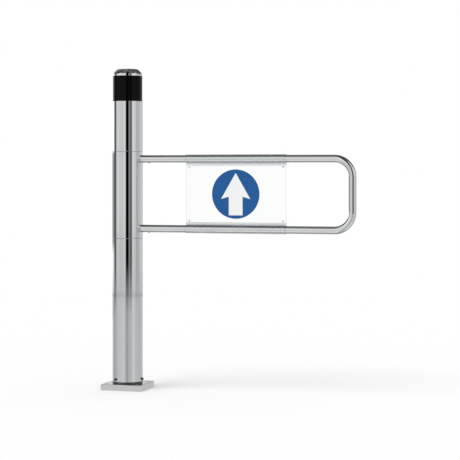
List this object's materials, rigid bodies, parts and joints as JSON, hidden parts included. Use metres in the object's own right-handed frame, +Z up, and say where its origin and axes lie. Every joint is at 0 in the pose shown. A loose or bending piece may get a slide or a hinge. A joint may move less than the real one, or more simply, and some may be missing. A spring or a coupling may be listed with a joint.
{
  "type": "pedestrian swing gate",
  "caption": "Floor-standing swing gate: a chromed post whose motor-driven middle sleeve turns a tubular arm with a clear panel and a round blue arrow sign.",
  "frame": {"origin": "Centre of the base plate's underside, on the axis of the post, at the middle of the four anchor holes.", "axes": "+Z is up along the post. +X runs along the arm in the closed position. The side that carries the arrow sign faces -Y, and the arm opens towards +Y."},
  "size_m": [0.8525, 0.14, 1.0724],
  "materials": {
    "chrome_tube": "mirror chrome plate",
    "polished_plate": "ground and polished stainless steel",
    "black_gloss": "gloss black infrared-clear polycarbonate",
    "clear_sheet": "clear acrylic sheet, flame-polished edges",
    "blue_film": "printed blue vinyl film",
    "white_film": "white vinyl film",
    "black_oxide": "black-oxide steel, oiled",
    "turned_steel": "turned bright steel",
    "hub_aluminium": "turned aluminium",
    "bearing_steel": "ground and honed bearing steel",
    "cage_brass": "machined brass",
    "buffer_rubber": "moulded black rubber",
    "gear_steel": "cut and oiled gear steel",
    "motor_paint": "baked grey enamel",
    "zinc_plate": "bright zinc plate",
    "board_green": "green solder-masked glass-fibre board",
    "spacer_brass": "turned brass",
    "capacitor_sleeve": "dark blue shrink sleeve",
    "sink_aluminium": "black-anodised aluminium",
    "terminal_green": "moulded green nylon",
    "sensor_orange": "orange-capped nickel barrel"
  },
  "bodies": {
    "post": {"base_plate": "polished_plate", "spigot_screws": "black_oxide", "foot_spigot": "black_oxide", "foot_screws": "black_oxide", "lower_tube": "chrome_tube", "spindle_seat": "turned_steel", "spindle": "turned_steel", "spindle_screws": "black_oxide", "spindle_circlip": "black_oxide", "spindle_nut": "black_oxide", "lower_bearing_inner_ring": "bearing_steel", "upper_bearing_inner_ring": "bearing_steel", "stop_pins": "turned_steel", "stop_buffers": "buffer_rubber", "gearbox": "motor_paint", "gearbox_screws": "black_oxide", "motor_can": "motor_paint", "motor_plate": "hub_aluminium", "position_sensors": "sensor_orange", "upper_seam_ring": "turned_steel", "upper_tube": "chrome_tube", "upper_tube_ledge": "turned_steel", "board_bracket": "zinc_plate", "bracket_screws": "zinc_plate", "board_standoffs": "spacer_brass", "control_board": "board_green", "board_screws": "zinc_plate", "board_capacitors": "capacitor_sleeve", "board_heat_sink": "sink_aluminium", "board_terminals": "terminal_green", "tie_rods": "turned_steel", "tie_nuts": "zinc_plate", "head_plate": "hub_aluminium", "sensor_bracket": "zinc_plate", "motion_sensor_board": "board_green", "motion_sensor": "zinc_plate", "head_ring": "black_gloss", "cap_seal": "buffer_rubber", "cap": "chrome_tube"},
    "arm": {"sleeve": "chrome_tube", "lower_hub": "hub_aluminium", "upper_hub": "hub_aluminium", "lower_bearing_outer_ring": "bearing_steel", "upper_bearing_outer_ring": "bearing_steel", "stop_dog": "turned_steel", "ring_gear": "gear_steel", "ring_gear_screws": "black_oxide", "sensor_flag": "black_oxide", "arm_spigots": "turned_steel", "arm_tube": "chrome_tube", "arm_grub_screws": "black_oxide", "sign_panel": "clear_sheet", "sign_disc": "blue_film", "sign_arrow": "white_film"},
    "pinion": {"drive_pinion": "gear_steel", "motor_shaft": "turned_steel"},
    "lower_ball_train": {"lower_bearing_balls": "bearing_steel", "lower_bearing_cage": "cage_brass"},
    "upper_ball_train": {"upper_bearing_balls": "bearing_steel", "upper_bearing_cage": "cage_brass"}
  },
  "joints": [
    {"name": "gate_swing", "type": "hinge", "parent": "post", "child": "arm", "pos_m": [0, 0, 0.65], "axis": [0, 0, 1], "range_deg": [0, 90]},
    {"name": "pinion_spin", "type": "hinge", "parent": "post", "child": "pinion", "pos_m": [0, 0.0285, 0.79], "axis": [0, 0, 1], "range_deg": [0, 335]},
    {"name": "lower_ball_roll", "type": "hinge", "parent": "post", "child": "lower_ball_train", "pos_m": [0, 0, 0.5235], "axis": [0, 0, 1], "range_deg": [0, 53]},
    {"name": "upper_ball_roll", "type": "hinge", "parent": "post", "child": "upper_ball_train", "pos_m": [0, 0, 0.7738], "axis": [0, 0, 1], "range_deg": [0, 53]}
  ],
  "couplings": [
    {"joint": "pinion_spin", "follows": "gate_swing", "ratio": 3.7143},
    {"joint": "lower_ball_roll", "follows": "gate_swing", "ratio": 0.58247},
    {"joint": "upper_ball_roll", "follows": "gate_swing", "ratio": 0.58247}
  ]
}
